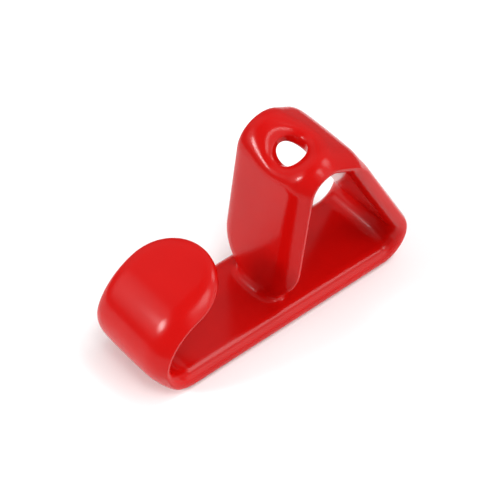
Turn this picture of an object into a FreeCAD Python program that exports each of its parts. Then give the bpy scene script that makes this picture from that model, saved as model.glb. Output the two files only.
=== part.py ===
import FreeCAD, Part
import math
import os

os.makedirs("parts", exist_ok=True)
V = FreeCAD.Vector

# Garage utility hook: one flat steel strip, bent and dipped in soft plastic.
# X runs from the front hook to the back bend, Y across the strip, Z up from the underside of the base.
# All lengths are mm and all angles degrees. Bend radii are those of the strip's middle line.

# Overall sizes, coat included
overall_length = 70.0
overall_height = 42.0
strip_width = 22.0
coated_thickness = 4.4
edge_round = 1.6

# Front hook: a bend off the base, a wider bend that curls back, and a straight end with a round tip
hook_bend_radius = 7.4
hook_rise_angle = 112.0
hook_curl_radius = 14.0
hook_tip_angle = 157.6
hook_straight_end = 11.5

# Back bend and sloped strip
back_bend_radius = 5.5
slope_lean = 29.0
shoulder_radius = 5.5
roof_rise = 27.5

# Top bend at the end of the roof, which is measured from the shoulder's corner to the top bend's, and the
# upright wall whose round foot sinks a little into the coat of the base
roof_length = 13.4
top_bend_radius = 5.6
wall_lean = 6.9
foot_sinks_into_base = 0.6

# Screw hole through the top bend, coat included: a straight bore, as wide as the bend's inner side allows,
# that opens out along the strip in the outer half of the metal, which stretches as the strip is bent
bore_to_bend_radius = 1.25
bore_lean = 21.0
bore_shift = 0.5
flare_starts_below_middle = 0.5
flare_starts_inside_bore = 0.1
punched_wider_than_bore = 0.7
hole_outer_round = 1.8
hole_inner_round = 1.0

# Coat that pools in the corner between foot and base
pool_height = 2.4

half = coated_thickness / 2.0
half_width = strip_width / 2.0
pool_half_length = half_width - edge_round - half - pool_height - 0.2
across_strip = V(0, 1, 0)


def heading(angle):
    a = math.radians(angle)
    return V(math.cos(a), 0, math.sin(a))


def outward(angle):
    # the strip's outer side, for a strip that runs at this heading
    a = math.radians(angle)
    return V(math.sin(a), 0, -math.cos(a))


# Middle line of the strip in the XZ plane, from the tip to the foot; every bend turns the same way
hook_centre = V(hook_bend_radius + half, 0, hook_bend_radius + half)
curl_centre = hook_centre + outward(-hook_rise_angle) * (hook_bend_radius - hook_curl_radius)
curl_end = curl_centre + outward(-hook_tip_angle) * hook_curl_radius
tip_end = curl_end - heading(-hook_tip_angle) * hook_straight_end
back_centre = V(overall_length - back_bend_radius - half, 0, back_bend_radius + half)
slope_heading = 90.0 + slope_lean
roof_heading = 180.0 - roof_rise
wall_heading = 270.0 - wall_lean
along_slope = heading(slope_heading)
along_roof = heading(roof_heading)

# The slope rises until the top bend, at the far end of the roof, reaches the overall height
top_half_turn = (wall_heading - roof_heading) / 2.0
top_corner_reach = outward(roof_heading + top_half_turn) * (top_bend_radius / math.cos(math.radians(top_half_turn)))
top_level = overall_height - half - top_bend_radius
back_setback = back_bend_radius * math.tan(math.radians(slope_heading) / 2.0)
back_corner = V(back_centre.x + back_setback, 0, half)
shoulder_level = top_level + top_corner_reach.z - along_roof.z * roof_length
shoulder_corner = back_corner + along_slope * ((shoulder_level - half) / along_slope.z)
top_centre = shoulder_corner + along_roof * roof_length - top_corner_reach
shoulder_setback = shoulder_radius * math.tan(math.radians(roof_heading - slope_heading) / 2.0)
shoulder_centre = shoulder_corner - along_slope * shoulder_setback - outward(slope_heading) * shoulder_radius

wall_top = top_centre + outward(wall_heading) * top_bend_radius
foot_level = coated_thickness - foot_sinks_into_base
wall_length = (wall_top.z - foot_level) / math.cos(math.radians(wall_lean))
foot_end = wall_top + heading(wall_heading) * wall_length

bends = [
    (curl_centre, hook_curl_radius, -hook_tip_angle, -hook_rise_angle),
    (hook_centre, hook_bend_radius, -hook_rise_angle, 0.0),
    (back_centre, back_bend_radius, 0.0, slope_heading),
    (shoulder_centre, shoulder_radius, slope_heading, roof_heading),
    (top_centre, top_bend_radius, roof_heading, wall_heading),
]


def narrow_side(point, angle, side):
    # one narrow side of the strip with its two rounded edges; side is 1 or -1 along Y
    y = across_strip * side
    edges = []
    for sign in (1, -1):
        out = outward(angle) * sign
        middle = point + y * (half_width - edge_round) + out * (half - edge_round)
        at_broad_side = middle + out * edge_round
        at_narrow_side = middle + y * edge_round
        between = middle + (out + y) * (edge_round / math.sqrt(2.0))
        edges.append(Part.Arc(at_broad_side, between, at_narrow_side).toShape())
    ends = [edge.Vertexes[1].Point for edge in edges]
    edges.append(Part.LineSegment(ends[0], ends[1]).toShape())
    return edges


def section(point, angle, whole):
    # section of the coated strip across its middle line, or the half of it on the +Y side
    out = outward(angle) * half
    reach = across_strip * (half_width - edge_round)
    edges = narrow_side(point, angle, 1)
    start = point - reach if whole else point
    edges.append(Part.LineSegment(start + out, point + reach + out).toShape())
    edges.append(Part.LineSegment(start - out, point + reach - out).toShape())
    if whole:
        edges += narrow_side(point, angle, -1)
    else:
        edges.append(Part.LineSegment(start + out, start - out).toShape())
    return Part.Face(Part.Wire(Part.__sortEdges__(edges)))


def round_end(point, angle, turn):
    # semicircular end of the strip: the half section turned half way round
    return section(point, angle, False).revolve(point, outward(angle), turn)


# Every straight is the section drawn along, and every bend the section turned about the bend's centre
tip_middle = tip_end + heading(-hook_tip_angle) * half_width
foot_middle = foot_end - heading(wall_heading) * half_width
lengths = [round_end(tip_middle, -hook_tip_angle, -180.0)]
here = tip_middle
for centre, radius, first, last in bends:
    begin = centre + outward(first) * radius
    if here.distanceToPoint(begin) > 1e-6:
        lengths.append(section(here, first, True).extrude(begin - here))
    lengths.append(section(begin, first, True).revolve(centre, -across_strip, last - first))
    here = centre + outward(last) * radius
lengths.append(section(here, wall_heading, True).extrude(foot_middle - here))
lengths.append(round_end(foot_middle, wall_heading, 180.0))
strip = lengths[0].fuse(lengths[1:]).removeSplitter()

# Screw hole: the straight bore, and an opening drawn from a circle inside the bore to the outline that a
# punched circle takes as the strip is bent round the top
bore_axis = heading(90.0 + bore_lean)
bore_across = heading(bore_lean)
bore_diameter = bore_to_bend_radius * top_bend_radius
bore_radius = bore_diameter / 2.0
flare_start_radius = bore_radius - flare_starts_inside_bore
punched_radius = (bore_diameter + punched_wider_than_bore) / 2.0
flare_start_height = top_bend_radius - flare_starts_below_middle
flare_end_height = top_bend_radius + coated_thickness


def start_reach(share):
    return bore_shift + flare_start_radius * share


def stretched_reach(share):
    return flare_end_height * math.tan(punched_radius * share / top_bend_radius)


def hole_outline(height, radius_across, reach_along):
    # smooth closed outline at this height over the top bend's centre, across the bore's axis
    points = []
    for step in range(24):
        turn = 2.0 * math.pi * step / 24.0
        points.append(
            top_centre
            + bore_axis * height
            + bore_across * reach_along(math.cos(turn))
            + across_strip * (radius_across * math.sin(turn))
        )
    curve = Part.BSplineCurve()
    curve.interpolate(Points=points, PeriodicFlag=True)
    return Part.Wire([curve.toShape()])


flare_start = hole_outline(flare_start_height, flare_start_radius, start_reach)
flare_end = hole_outline(flare_end_height, punched_radius, stretched_reach)
flare = Part.makeLoft([flare_start, flare_end], True, True)
bore = Part.makeCylinder(bore_radius, flare_end_height, top_centre + bore_across * bore_shift, bore_axis)
strip = strip.cut([bore, flare])


def rim_edges(shape, outer_side):
    # edges of the screw hole that lie on the outer or the inner side of the strip
    chosen = []
    for edge in shape.Edges:
        box = edge.BoundBox
        middle = edge.CenterOfMass
        height = (middle - top_centre).dot(bore_axis)
        near = (middle - top_centre).Length < top_bend_radius + half
        round_the_hole = box.YLength > 0.5 and max(box.YMax, -box.YMin) < punched_radius + 0.05
        is_outer = height > top_bend_radius
        is_inner = height < flare_start_height
        if near and round_the_hole and (is_outer if outer_side else is_inner):
            chosen.append(edge)
    return chosen


for outer_side, round_radius in ((True, hole_outer_round), (False, hole_inner_round)):
    strip = strip.makeFillet(round_radius, rim_edges(strip, outer_side))

# Coat pool: a stadium round the foot whose profile is hollow, between the base's top and the wall


def stadium(level, margin):
    lean_shift = -math.tan(math.radians(wall_lean)) * (foot_level - level)
    x = foot_end.x + lean_shift
    r = half + margin
    y = pool_half_length
    p1 = V(x - r, -y, level)
    p2 = V(x - r, y, level)
    p3 = V(x + r, y, level)
    p4 = V(x + r, -y, level)
    return Part.Wire([
        Part.LineSegment(p1, p2).toShape(),
        Part.Arc(p2, V(x, y + r, level), p3).toShape(),
        Part.LineSegment(p3, p4).toShape(),
        Part.Arc(p4, V(x, -y - r, level), p1).toShape(),
    ])


pool_sections = [stadium(coated_thickness - 1.0, pool_height)]
for step in range(5):
    turn = math.radians(90.0 * step / 4.0)
    level = coated_thickness + pool_height * (1.0 - math.cos(turn))
    margin = pool_height * (1.0 - math.sin(turn))
    pool_sections.append(stadium(level, max(margin, 0.02)))
pool = Part.makeLoft(pool_sections, True, True)

hook_body = strip.fuse([pool]).removeSplitter()

# The origin is the middle of the overall length and width, on the underside of the base
hook_body.translate(V(-overall_length / 2.0, 0, 0))
hook_body.exportStep("parts/hook_body.step")
print("valid", hook_body.isValid(), "solids", len(hook_body.Solids), "volume", round(hook_body.Volume, 1))
box = hook_body.BoundBox
print("box", [round(v, 3) for v in (box.XMin, box.XMax, box.YMin, box.YMax, box.ZMin, box.ZMax)])
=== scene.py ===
import bmesh
import bpy
import math
import numpy as np
from mathutils import Matrix, Vector
from mathutils.geometry import delaunay_2d_cdt


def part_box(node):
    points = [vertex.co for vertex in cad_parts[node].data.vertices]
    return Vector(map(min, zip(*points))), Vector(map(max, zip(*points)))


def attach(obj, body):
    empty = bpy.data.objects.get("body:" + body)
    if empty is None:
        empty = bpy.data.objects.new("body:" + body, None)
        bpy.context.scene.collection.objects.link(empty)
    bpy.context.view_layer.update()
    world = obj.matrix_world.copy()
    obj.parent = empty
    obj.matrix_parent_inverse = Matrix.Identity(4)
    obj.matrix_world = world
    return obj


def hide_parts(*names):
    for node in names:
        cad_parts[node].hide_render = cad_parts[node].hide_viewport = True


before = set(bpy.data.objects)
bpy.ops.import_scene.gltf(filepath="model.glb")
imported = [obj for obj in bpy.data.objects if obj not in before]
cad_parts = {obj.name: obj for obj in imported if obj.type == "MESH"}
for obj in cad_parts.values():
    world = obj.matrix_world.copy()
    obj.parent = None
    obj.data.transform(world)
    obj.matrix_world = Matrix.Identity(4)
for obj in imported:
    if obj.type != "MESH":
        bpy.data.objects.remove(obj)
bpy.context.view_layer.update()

# The hook: one strip of mild steel with round ends, punched for a screw, bent cold in a press and dipped
# hot in soft red vinyl, which sets to a thick glossy skin and pools in the corner under the foot. It is
# drawn flat here, coat included, and a node tree bends it. Lengths are mm until the meshes are made.
MM = 0.001
low_corner, high_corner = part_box("hook_body")
overall_length = (high_corner[0] - low_corner[0]) / MM
strip_width = (high_corner[1] - low_corner[1]) / MM
overall_height = (high_corner[2] - low_corner[2]) / MM
coated_thickness = 4.4
half = coated_thickness / 2
half_width = strip_width / 2

# Its edges, rounded by the coat: the round's reach across the strip, and its depth on either side
edge_reach = 3.0
outer_drop = 1.25
inner_drop = 2.3
flat_half_width = half_width - edge_reach

# Headings of its straights, in degrees, from the hook's tip to the foot, and radii of the bends between
tip_heading = -157.6
rise_heading = -112.0
base_heading = 0.0
slope_heading = 119.0
roof_heading = 152.5
wall_heading = 263.1
curl_radius = 14.0
hook_radius = 7.4
back_radius = 5.5
shoulder_radius = 5.5
top_radius = 5.6
hook_straight_end = 11.5
roof_length = 13.4
foot_sinks = 0.6


def heading(angle):
    """Unit vector along a strip that runs at this angle."""
    return Vector((math.cos(math.radians(angle)), math.sin(math.radians(angle))))


def outer_side(angle):
    """Unit vector to the outer side of a strip that runs at this angle."""
    return Vector((math.sin(math.radians(angle)), -math.cos(math.radians(angle))))


def setback(radius, first, last):
    """How far a bend between these headings starts before the corner that it rounds."""
    return radius * math.tan(math.radians(last - first) / 2)


# Corners of its middle line, before the bends are rounded. The slope rises until the top bend is at full
# height.
curl_setback = setback(curl_radius, tip_heading, rise_heading)
hook_setback = setback(hook_radius, rise_heading, base_heading)
back_setback = setback(back_radius, base_heading, slope_heading)
top_setback = setback(top_radius, roof_heading, wall_heading)
hook_corner = Vector((half + hook_radius - hook_setback, half))
curl_corner = hook_corner - heading(rise_heading) * (hook_setback + curl_setback)
tip_end = curl_corner - heading(tip_heading) * (curl_setback + hook_straight_end)
back_corner = Vector((overall_length - half - back_radius + back_setback, half))
top_reach = math.hypot(top_radius, top_setback)
top_bisector = outer_side((roof_heading + wall_heading) / 2)
top_level = overall_height - half - top_radius + top_bisector.y * top_reach
shoulder_level = top_level - heading(roof_heading).y * roof_length
slope_length = (shoulder_level - half) / heading(slope_heading).y
shoulder_corner = back_corner + heading(slope_heading) * slope_length
top_corner = shoulder_corner + heading(roof_heading) * roof_length
wall_length = (coated_thickness - foot_sinks - top_corner.y) / heading(wall_heading).y
foot_end = top_corner + heading(wall_heading) * wall_length
corners = [tip_end, curl_corner, hook_corner, back_corner, shoulder_corner, top_corner, foot_end]
headings = [tip_heading, rise_heading, base_heading, slope_heading, roof_heading, wall_heading]
bends = {
    "Curl radius": curl_radius,
    "Hook radius": hook_radius,
    "Back radius": back_radius,
    "Shoulder radius": shoulder_radius,
    "Top radius": top_radius,
}

# Length of the strip: its straights, less what each bend cuts off two of them, plus the bend's arc
strip_length = sum((end - start).length for start, end in zip(corners, corners[1:]))
for radius, first, last in zip(bends.values(), headings, headings[1:]):
    strip_length += radius * math.radians(last - first) - 2 * setback(radius, first, last)
half_top_bend = top_radius * math.radians(wall_heading - roof_heading) / 2
top_bend_middle = strip_length - wall_length + top_setback - half_top_bend

# Screw hole, punched just short of the top bend's middle. The bend stretches the strip's outer side along
# its length and shortens its inner side, and the coat rounds the hole's rim on both.
hole_radius = 3.65
hole_short_of_middle = 0.67
hole_middle = top_bend_middle - hole_short_of_middle
outer_stretch = (top_radius + half) / top_radius
inner_stretch = (top_radius - half) / top_radius
outer_rim_round = 1.9
inner_rim_round = 1.2
hole_rims = ((-half, outer_rim_round, outer_stretch), (half, inner_rim_round, inner_stretch))

# Its two broad sides are grids of square cells, with discs of cells as ends and a wheel of rings round the
# hole. The rings are a little wider near the grid than at the hole.
cells_across = 52
half_cells = cells_across // 2
cell = 2 * flat_half_width / cells_across
wheel_rings = 16
wheel_spread = 0.9
round_steps = 7
across = [-1 + 2 * number / cells_across for number in range(cells_across + 1)]
points = []
faces = []


def end_column(middle, lengthwise):
    """One column of a round end: a square of cells drawn in to a disc."""
    column = []
    for crosswise in across:
        x = middle + flat_half_width * lengthwise * math.sqrt(1 - crosswise * crosswise / 2)
        y = crosswise * math.sqrt(1 - lengthwise * lengthwise / 2)
        column.append((x, flat_half_width * y))
    return column


def straight_columns(start, stop):
    """Columns of nearly square cells from start up to, but without, stop."""
    count = max(1, round((stop - start) / cell))
    stations = [start + (stop - start) * number / count for number in range(count)]
    return [[(x, flat_half_width * share) for share in across] for x in stations]


def new_ring(places):
    """Adds these places to the points and gives their numbers."""
    points.extend(places)
    return list(range(len(points) - len(places), len(points)))


def join_rings(first, second):
    """Faces between two rings of as many points."""
    for number in range(len(first)):
        after = (number + 1) % len(first)
        faces.append((first[number], first[after], second[after], second[number]))


def sweep(ring, sections):
    """Faces from a ring of points through each ring of new places in turn; gives the last ring."""
    for places in sections:
        next_ring = new_ring(places)
        join_rings(ring, next_ring)
        ring = next_ring
    return ring


def block_border(grid, first, last):
    """Points round a block of the grid's columns, in order."""
    ring = [grid[column][0] for column in range(first, last)]
    ring += [grid[last][row] for row in range(cells_across)]
    ring += [grid[column][cells_across] for column in range(last, first, -1)]
    return ring + [grid[first][row] for row in range(cells_across, 0, -1)]


def hole_circle(reach, stretch, z):
    """Circle at this reach outside the hole, drawn in along the strip by what the bend will stretch it."""
    block_corner = math.radians(225)
    count = 4 * cells_across
    along = hole_radius + reach / stretch
    ring = []
    for number in range(count):
        turn = block_corner + 2 * math.pi * number / count
        x = hole_middle + along * math.cos(turn)
        ring.append((x, (hole_radius + reach) * math.sin(turn), z))
    return ring


columns = [end_column(half_width, share) for share in across[:half_cells]]
columns += straight_columns(half_width, hole_middle - flat_half_width)
hole_column = len(columns)
columns += straight_columns(hole_middle - flat_half_width, hole_middle + flat_half_width)
after_hole = len(columns)
columns += straight_columns(hole_middle + flat_half_width, strip_length - half_width)
columns += [end_column(strip_length - half_width, share) for share in across[half_cells:]]
strip_borders = []
hole_edges = []
for z, rim_round, stretch in hole_rims:
    grid = [new_ring([(x, y, z) for x, y in column]) for column in columns]
    for column in (*range(hole_column), *range(after_hole, len(columns) - 1)):
        for row in range(cells_across):
            left, right = grid[column], grid[column + 1]
            faces.append((left[row], right[row], right[row + 1], left[row + 1]))
    spokes = block_border(grid, hole_column, after_hole)
    outer = np.array([points[number] for number in spokes])
    inner = np.array(hole_circle(rim_round, stretch, z))
    shares = [(step / wheel_rings) ** wheel_spread for step in range(1, wheel_rings + 1)]
    hole_edges.append(sweep(spokes, [outer + (inner - outer) * share for share in shares]))
    strip_borders.append(block_border(grid, 0, len(columns) - 1))

# Its sheared edges and the hole's wall, both rounded by the coat: rings from the outer to the inner side
quarter = [math.pi / 2 * step / round_steps for step in range(1, round_steps + 1)]
border = np.array([points[number] for number in strip_borders[0]])[:, :2]
spine = np.clip(border[:, 0], half_width, strip_length - half_width)
ways = np.stack([border[:, 0] - spine, border[:, 1]], axis=1)
ways /= np.linalg.norm(ways, axis=1)[:, None]
edge_rings = []
wall_rings = []
for inwards, turns, drop, (z, rim_round, stretch) in (
    (1, quarter, outer_drop, hole_rims[0]),
    (-1, quarter[::-1], inner_drop, hole_rims[1]),
):
    for turn in turns:
        grow = edge_reach * math.sin(turn)
        edge_level = z + inwards * drop * (1 - math.cos(turn))
        edge_rings.append([(x, y, edge_level) for x, y in border + ways * grow])
        wall_level = z + inwards * rim_round * (1 - math.cos(turn))
        wall_rings.append(hole_circle(rim_round * (1 - math.sin(turn)), stretch, wall_level))
join_rings(sweep(strip_borders[0], edge_rings), strip_borders[1])
join_rings(sweep(hole_edges[0], wall_rings), hole_edges[1])

# Set of its coat: thickest along the middle and thinner towards the edges, and drawn down into the hole's
# mouth like a bell. The near edge is rolled over from the outer side, on the hook and on the top.
crown = 0.25
mouth_depth = 1.9
mouth_reach = 9.2
roll_depth = 1.7
roll_reach = 5.5
roll_fade = 6.0
hook_roll_end = 34.0
top_roll_before_bend = 16.0
flat_points = np.array(points)
stations, sideways = flat_points[:, 0], flat_points[:, 1]
spine = np.clip(stations, half_width, strip_length - half_width)
from_spine = np.hypot(stations - spine, sideways) / half_width
flat_points[:, 2] *= 1 - crown / half * from_spine ** 2


def sink_outer_side(depth):
    """Lowers the outer skin by this depth, and the edges below it by less."""
    flat_points[:, 2] += depth * np.clip(-flat_points[:, 2] / half, 0, 1)


from_hole = np.hypot((stations - hole_middle) * outer_stretch, sideways)
closeness = np.clip((mouth_reach - from_hole) / (mouth_reach - hole_radius), 0, 1)
sink_outer_side(mouth_depth * closeness ** 2)
rolled = np.clip((roll_reach - half_width - sideways) / roll_reach, 0, 1) ** 2
past_start = stations - (top_bend_middle - top_roll_before_bend)
fade = np.clip(np.maximum(hook_roll_end - stations, past_start) / roll_fade, 0, 1)
sink_outer_side(roll_depth * rolled * fade ** 2 * (3 - 2 * fade))

# Its flat mesh, in metres. Every corner keeps its station along the strip, which finds the foot later.
flat_strip = bpy.data.meshes.new("flat_strip")
shaper = bmesh.new()
station = shaper.verts.layers.float.new("station")
verts = [shaper.verts.new(place * MM) for place in flat_points]
for vert, place in zip(verts, points):
    vert[station] = place[0]
for face in faces:
    shaper.faces.new([verts[number] for number in face])
bmesh.ops.delete(shaper, geom=[vert for vert in verts if not vert.link_faces], context="VERTS")
bmesh.ops.recalc_face_normals(shaper, faces=shaper.faces)
shaper.to_mesh(flat_strip)
shaper.free()
blank = bpy.data.objects.new("blank", flat_strip)
bpy.context.collection.objects.link(blank)

# Middle line of the bent strip, in the plane of its bends, as one open line of its corners
line = bpy.data.curves.new("middle_line", "CURVE")
line.dimensions = "3D"
spline = line.splines.new("POLY")
spline.points.add(len(corners) - 1)
for point, corner in zip(spline.points, corners):
    point.co = ((corner.x - overall_length / 2) * MM, 0.0, corner.y * MM, 1.0)
middle_line = bpy.data.objects.new("middle_line", line)
bpy.context.collection.objects.link(middle_line)


def add_node(tree, kind, links=None, **settings):
    """A node with its settings; links gives each input a number, a colour or another node's output."""
    node = tree.nodes.new(kind)
    for name, value in settings.items():
        setattr(node, name, value)
    for name, value in (links or {}).items():
        if isinstance(value, bpy.types.NodeSocket):
            tree.links.new(value, node.inputs[name])
        else:
            node.inputs[name].default_value = value
    return node


# Press: bends the cold strip over five round dies. The tree rounds the middle line's corners to the bend
# radii and carries every point of the flat strip onto that line. A point's length along the strip finds a
# place on the line, and its height over the strip's middle is set off square to the line there.
bend_steps = 96
press = bpy.data.node_groups.new("bending_press", "GeometryNodeTree")
press.interface.new_socket("Flat strip", in_out="INPUT", socket_type="NodeSocketGeometry")
kinds = {"Middle line": "NodeSocketObject", **dict.fromkeys(bends, "NodeSocketFloat")}
kinds["Coat"] = "NodeSocketMaterial"
sockets = {}
for name, kind in kinds.items():
    sockets[name] = press.interface.new_socket(name, in_out="INPUT", socket_type=kind)
press.interface.new_socket("Hook", in_out="OUTPUT", socket_type="NodeSocketGeometry")
given = add_node(press, "NodeGroupInput").outputs
corner_number = add_node(press, "GeometryNodeInputIndex").outputs[0]
corner_radius = add_node(press, "GeometryNodeIndexSwitch", {0: corner_number}, data_type="FLOAT")
while len(corner_radius.index_switch_items) < len(corners):
    corner_radius.index_switch_items.new()
first_bend_input = 2
for number, name in enumerate(bends, start=first_bend_input):
    press.links.new(given[name], corner_radius.inputs[number])
corner_line = add_node(press, "GeometryNodeObjectInfo", {"Object": given["Middle line"]})
bent_line = add_node(
    press,
    "GeometryNodeFilletCurve",
    {"Curve": corner_line.outputs["Geometry"], "Count": bend_steps, "Radius": corner_radius.outputs[0]},
    mode="POLY",
)
position = add_node(press, "GeometryNodeInputPosition").outputs[0]
place = add_node(press, "ShaderNodeSeparateXYZ", {0: position}).outputs
on_line = add_node(
    press,
    "GeometryNodeSampleCurve",
    {"Curves": bent_line.outputs[0], "Length": place["X"]},
    mode="LENGTH",
).outputs
spot = add_node(press, "ShaderNodeSeparateXYZ", {0: on_line["Position"]}).outputs
along = add_node(press, "ShaderNodeSeparateXYZ", {0: on_line["Tangent"]}).outputs
back = add_node(press, "ShaderNodeMath", {0: along["Z"], 1: place["Z"]}, operation="MULTIPLY").outputs[0]
rise = add_node(press, "ShaderNodeMath", {0: along["X"], 1: place["Z"]}, operation="MULTIPLY").outputs[0]
bent_x = add_node(press, "ShaderNodeMath", {0: spot["X"], 1: back}, operation="SUBTRACT").outputs[0]
bent_z = add_node(press, "ShaderNodeMath", {0: spot["Z"], 1: rise}, operation="ADD").outputs[0]
bent_place = add_node(press, "ShaderNodeCombineXYZ", {"X": bent_x, "Y": place["Y"], "Z": bent_z})
bent = add_node(
    press,
    "GeometryNodeSetPosition",
    {"Geometry": given["Flat strip"], "Position": bent_place.outputs[0]},
)
whole = add_node(press, "GeometryNodeRealizeInstances", {"Geometry": bent.outputs[0]}).outputs[0]
coated = add_node(press, "GeometryNodeSetMaterial", {"Geometry": whole, "Material": given["Coat"]})
add_node(press, "NodeGroupOutput", {0: coated.outputs[0]})


def linear(hex_colour):
    """Linear colour of an sRGB hex value."""
    colour = []
    for start in (1, 3, 5):
        share = int(hex_colour[start:start + 2], 16) / 255
        colour.append(share / 12.92 if share <= 0.04045 else ((share + 0.055) / 1.055) ** 2.4)
    return (*colour, 1.0)


# Coat: PVC plastisol, hot dipped and fused in an oven. It is a thick opaque skin, deep red and glossy. Its
# shade and gloss vary a little where it ran thick or thin, and a faint orange peel softens its reflections.
thick_red = "#B80806"
thin_red = "#BF0A07"
ramp_ends = (0.3, 0.7)
smoothest = 0.14
roughest = 0.2
run_size = 14.0
peel_size = 1.6
peel_depth = 0.01
vinyl = bpy.data.materials.new("dipped_pvc_plastisol")
vinyl.use_nodes = True
tree = vinyl.node_tree
tree.nodes.clear()
here = add_node(tree, "ShaderNodeTexCoord").outputs["Object"]
run_settings = {"Vector": here, "Scale": 1 / (run_size * MM), "Detail": 2.0, "Roughness": 0.5}
runs = add_node(tree, "ShaderNodeTexNoise", run_settings).outputs[0]
shade = add_node(tree, "ShaderNodeValToRGB", {0: runs})
for element, position, colour in zip(shade.color_ramp.elements, ramp_ends, (thick_red, thin_red)):
    element.position = position
    element.color = linear(colour)
peel_settings = {"Vector": here, "Scale": 1 / (peel_size * MM), "Detail": 1.0}
peel = add_node(tree, "ShaderNodeTexNoise", peel_settings).outputs[0]
dimple_settings = {"Strength": 0.5, "Distance": peel_depth * MM, "Height": peel}
dimples = add_node(tree, "ShaderNodeBump", dimple_settings)
gloss = add_node(tree, "ShaderNodeMapRange", {"Value": runs, "To Min": smoothest, "To Max": roughest})
vinyl_shader = add_node(
    tree,
    "ShaderNodeBsdfPrincipled",
    {
        "Base Color": shade.outputs[0],
        "Roughness": gloss.outputs[0],
        "Specular IOR Level": 0.18,
        "Normal": dimples.outputs[0],
        "IOR": 1.53,
        "Metallic": 0.0,
    },
)
add_node(tree, "ShaderNodeOutputMaterial", {"Surface": vinyl_shader.outputs[0]})

# The pressing itself: the blank goes through the tree once and becomes a plain mesh
pressing = blank.modifiers.new("pressing", "NODES")
pressing.node_group = press
pressing[sockets["Middle line"].identifier] = middle_line
pressing[sockets["Coat"].identifier] = vinyl
for name, radius in bends.items():
    pressing[sockets[name].identifier] = radius * MM
evaluated = blank.evaluated_get(bpy.context.evaluated_depsgraph_get())
hook_mesh = bpy.data.meshes.new_from_object(evaluated)
hook_mesh.name = "utility_hook"
blank.modifiers.remove(pressing)
bpy.data.objects.remove(blank)
bpy.data.objects.remove(middle_line)

# Pool of coat that crept into the corner between the foot and the base. The foot is trimmed at the pool's
# brim, a hollow round runs from there down to the base, and the base's top is patched round it. All in mm.
pool_round = 2.4
pool_steps = 14
foot_round = 1.6
patch_half_length = 7.6
patch_half_width = 9.5
foot_way = heading(wall_heading)
foot_along = np.array((foot_way.x, 0.0, foot_way.y))
foot_out = np.array((-foot_way.y, 0.0, foot_way.x))
foot_tip = np.array((foot_end.x - overall_length / 2, 0.0, foot_end.y))
foot_middle = foot_tip - foot_along * half_width


def gap_to_foot(places):
    """Distance of each place from the foot's skin."""
    away = places - foot_middle
    along, side, through = away @ foot_along, away[:, 1], np.abs(away @ foot_out)
    reach = np.where(along > 0, np.hypot(along, side), np.abs(side))
    outline = reach - half_width + foot_round
    depth = through - half + crown * (reach / half_width) ** 2 + foot_round
    inside = np.minimum(np.maximum(outline, depth), 0)
    return inside + np.hypot(np.maximum(outline, 0), np.maximum(depth, 0)) - foot_round


def base_top(sideways):
    """Height of the base's upper skin at this distance from its middle."""
    reach = np.clip((np.abs(sideways) - flat_half_width) / edge_reach, 0, 1)
    inner_side = half - inner_drop * (1 - np.sqrt(1 - reach ** 2))
    return half + inner_side * (1 - crown / half * (sideways / half_width) ** 2)


def open_loop(shape, besides=()):
    """Corners round an opening of this shape, in order, where the shape has no other opening besides."""
    known = set(besides)
    beside = {}
    for edge in shape.edges:
        if len(edge.link_faces) == 1 and not known.intersection(edge.verts):
            for vert in edge.verts:
                beside.setdefault(vert, []).append(edge.other_vert(vert))
    first = next(iter(beside))
    loop = [first, beside[first][0]]
    while True:
        following = [vert for vert in beside[loop[-1]] if vert is not loop[-2]][0]
        if following is first:
            return loop
        loop.append(following)


# The foot's round end is cut off level with the pool's brim, and tiny edges along the cut are closed
foot_margin = 0.01
cut_tolerance = 0.001
tiny_edge = 0.06
skin = bmesh.new()
skin.from_mesh(hook_mesh)
bmesh.ops.scale(skin, vec=(1 / MM,) * 3, verts=skin.verts)
station = skin.verts.layers.float["station"]
foot_start = strip_length - half_width - foot_margin
foot_faces = [face for face in skin.faces if min(vert[station] for vert in face.verts) > foot_start]
foot_parts = list(dict.fromkeys(part for face in foot_faces for part in (*face.verts, *face.edges, face)))
brim = (0, 0, coated_thickness + pool_round)
upwards = (0, 0, 1)
bmesh.ops.bisect_plane(
    skin,
    geom=foot_parts,
    dist=cut_tolerance,
    plane_co=brim,
    plane_no=upwards,
    clear_inner=True,
)
bmesh.ops.remove_doubles(skin, verts=open_loop(skin), dist=tiny_edge)

# The pool's rings go down from the brim, each at its own height and distance from the foot. A place gets
# there in a few steps along the slope of its distance, which small nudges measure.
settle_steps = 12
nudge = 0.001
nudges = np.eye(3)[:2] * nudge
rings = [open_loop(skin)]
places = np.array([vert.co for vert in rings[0]])
brim_gap = gap_to_foot(places)
for step in range(1, pool_steps + 1):
    turn = math.pi / 2 * step / pool_steps
    above_base = pool_round * (1 - math.sin(turn))
    for _ in range(settle_steps):
        fall = (coated_thickness - base_top(places[:, 1])) * math.sin(turn)
        places[:, 2] = coated_thickness - fall + above_base
        wanted = pool_round * (1 - math.cos(turn)) + brim_gap * (1 - math.sin(turn))
        gap = gap_to_foot(places) - wanted
        changes = [gap_to_foot(places + way) - gap_to_foot(places - way) for way in nudges]
        slope = np.stack(changes, axis=1) / (2 * nudge)
        places[:, :2] -= slope * (gap / (slope ** 2).sum(axis=1))[:, None]
    rings.append([skin.verts.new(place) for place in places])
for ring, next_ring in zip(rings, rings[1:]):
    for number in range(len(ring)):
        after = (number + 1) % len(ring)
        skin.faces.new((ring[number], ring[after], next_ring[after], next_ring[number]))

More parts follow.
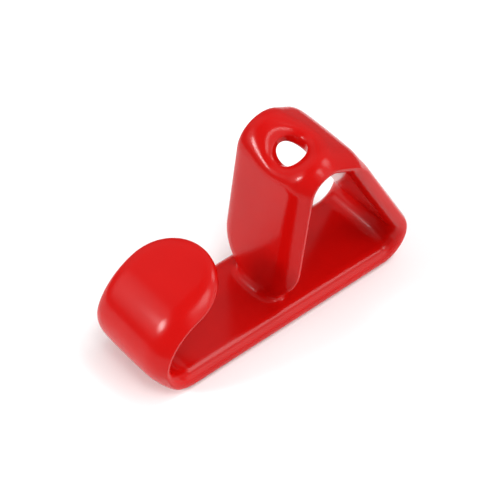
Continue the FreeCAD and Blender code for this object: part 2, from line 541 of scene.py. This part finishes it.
# The base's top is opened round the pool's shore, and a fresh grid fills the gap between rim and shore
flat_enough = 0.02
merge_tolerance = 1e-5
shore = rings[-1]
pool_faces = {face for vert in shore for face in vert.link_faces}
patch = []
for face in skin.faces:
    middle = face.calc_center_median()
    on_base = all(abs(vert.co.z - base_top(vert.co.y)) < flat_enough for vert in face.verts)
    near_foot = abs(middle.x - foot_tip[0]) < patch_half_length and abs(middle.y) < patch_half_width
    if on_base and near_foot and face not in pool_faces:
        patch.append(face)
bmesh.ops.delete(skin, geom=patch, context="FACES")
rim = open_loop(skin, besides=shore)
low_x = min(vert.co.x for vert in rim) + cell
high_x = max(vert.co.x for vert in rim) - cell / 2
last_row = max(vert.co.y for vert in rim) - cell
rows = np.linspace(-last_row, last_row, cells_across)
inner = np.array([(x, y, base_top(y)) for x in np.arange(low_x, high_x, cell) for y in rows])
inner = inner[gap_to_foot(inner) > pool_round + cell / 2]
filling = rim + shore + [skin.verts.new(place) for place in inner]
flat_places = [vert.co.xy.copy() for vert in filling]
outline = []
loops = []
for numbers in (list(range(len(rim))), list(range(len(rim), len(rim) + len(shore)))):
    sides = list(zip(numbers, numbers[1:] + numbers[:1]))
    outline += sides
    runs_clockwise = sum(flat_places[start].cross(flat_places[end]) for start, end in sides) < 0
    loops.append(numbers[::-1] if runs_clockwise else numbers)
inside_only = 1
mesh_2d = delaunay_2d_cdt(flat_places, outline, loops, inside_only, merge_tolerance)
_, _, triangles, sources, _, inside = mesh_2d
for triangle, within in zip(triangles, inside):
    if within == [0]:
        skin.faces.new([filling[sources[number][0]] for number in triangle])
bmesh.ops.recalc_face_normals(skin, faces=skin.faces)

# The finished piece stands for the CAD solid. It is a hair smaller, so that rounding can't put it past the
# CAD's box.
just_inside = 0.9997
bmesh.ops.scale(skin, vec=(MM * just_inside,) * 3, verts=skin.verts)
skin.to_mesh(hook_mesh)
skin.free()
hook_mesh.attributes.remove(hook_mesh.attributes["station"])
hook_mesh.shade_smooth()
hook = bpy.data.objects.new("utility_hook", hook_mesh)
bpy.context.collection.objects.link(hook)
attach(hook, "root")
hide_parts("hook_body")

# Floor: a square of matt white card under the hook, without texture. It is cut small, so that the strip's
# far edges mirror the room and not the card.
card_half = 150.0
card_white = "#F7F7F7"
card = bpy.data.materials.new("white_card")
card.use_nodes = True
tree = card.node_tree
tree.nodes.clear()
card_settings = {"Base Color": linear(card_white), "Roughness": 0.9}
card_shader = add_node(tree, "ShaderNodeBsdfPrincipled", card_settings)
add_node(tree, "ShaderNodeOutputMaterial", {"Surface": card_shader.outputs[0]})
floor_mesh = bpy.data.meshes.new("floor")
corner_ways = ((-1, -1), (1, -1), (1, 1), (-1, 1))
card_corners = [(x * card_half * MM, y * card_half * MM, 0) for x, y in corner_ways]
floor_mesh.from_pydata(card_corners, [], [(0, 1, 2, 3)])
floor_mesh.materials.append(card)
floor = bpy.data.objects.new("floor", floor_mesh)
bpy.context.collection.objects.link(floor)

# Light: an evenly lit room and nine round lamps with cloth fronts, all far off. Each has its full strength
# out to its inner angle and fades softly to nothing at its outer one. The first two are small and bright
# and give the sharp highlights, and the others are wider and give the soft ones.
room_light = 0.28
lamps = (
    {"azimuth": 158, "elevation": 30, "inner": 1, "outer": 10, "strength": 32.0},
    {"azimuth": 252, "elevation": 68, "inner": 2, "outer": 10, "strength": 7.0},
    {"azimuth": 146, "elevation": 28, "inner": 6, "outer": 26, "strength": 1.5},
    {"azimuth": 345, "elevation": 62, "inner": 3, "outer": 16, "strength": 6.0},
    {"azimuth": 270, "elevation": 52, "inner": 5, "outer": 34, "strength": 1.2},
    {"azimuth": 300, "elevation": 25, "inner": 5, "outer": 34, "strength": 2.3},
    {"azimuth": 100, "elevation": 40, "inner": 5, "outer": 34, "strength": 0.5},
    {"azimuth": 0, "elevation": 52, "inner": 10, "outer": 55, "strength": 0.5},
    {"azimuth": 240, "elevation": 8, "inner": 5, "outer": 34, "strength": 0.4},
)
room = bpy.data.worlds.new("studio_room")
room.use_nodes = True
tree = room.node_tree
tree.nodes.clear()
way = add_node(tree, "ShaderNodeTexCoord").outputs["Generated"]
light = room_light
for lamp in lamps:
    azimuth, elevation = math.radians(lamp["azimuth"]), math.radians(lamp["elevation"])
    level = math.cos(elevation)
    towards = (level * math.cos(azimuth), level * math.sin(azimuth), math.sin(elevation))
    facing = add_node(tree, "ShaderNodeVectorMath", {0: way, 1: towards}, operation="DOT_PRODUCT")
    glow = add_node(
        tree,
        "ShaderNodeMapRange",
        {
            "Value": facing.outputs["Value"],
            "From Min": math.cos(math.radians(lamp["outer"])),
            "From Max": math.cos(math.radians(lamp["inner"])),
            "To Min": 0.0,
            "To Max": lamp["strength"],
        },
        interpolation_type="SMOOTHSTEP",
    )
    light = add_node(tree, "ShaderNodeMath", {0: light, 1: glow.outputs[0]}, operation="ADD").outputs[0]
background = add_node(tree, "ShaderNodeBackground", {"Color": linear("#FFFFFF"), "Strength": light})
add_node(tree, "ShaderNodeOutputWorld", {"Surface": background.outputs[0]})
bpy.context.scene.world = room

# Camera: the photograph's viewpoint, from the hook's front left and above, with a long lens. Angles are
# degrees. The target is a point inside the hook, and the sight line passes it by a little, across and up.
view_azimuth = 48.583
view_down = 47.137
view_roll = 1.455
view_distance = 417.54
target = Vector((0, 0, 18))
past_target_across = -1.392
past_target_up = -2.001
focal_length_in_pixels = 1998.71
frame_in_pixels = 500
sensor_width = 36
azimuth, down, roll = (math.radians(angle) for angle in (view_azimuth, view_down, view_roll))
forward = Vector((math.cos(azimuth), math.sin(azimuth), 0))
look = forward * math.cos(down) - Vector((0, 0, math.sin(down)))
level = Vector((math.sin(azimuth), -math.cos(azimuth), 0))
upright = level.cross(look)
right = level * math.cos(roll) + upright * math.sin(roll)
up = upright * math.cos(roll) - level * math.sin(roll)
eye = target + right * past_target_across + up * past_target_up - look * view_distance
lens = bpy.data.cameras.new("camera")
lens.sensor_width = sensor_width
lens.lens = focal_length_in_pixels / frame_in_pixels * sensor_width
lens.clip_start = 10 * MM
camera = bpy.data.objects.new("camera", lens)
axes = Matrix((right, up, -look)).transposed().to_4x4()
camera.matrix_world = Matrix.Translation(eye * MM) @ axes
bpy.context.collection.objects.link(camera)
bpy.context.scene.camera = camera
bpy.context.scene.view_settings.view_transform = "Standard"
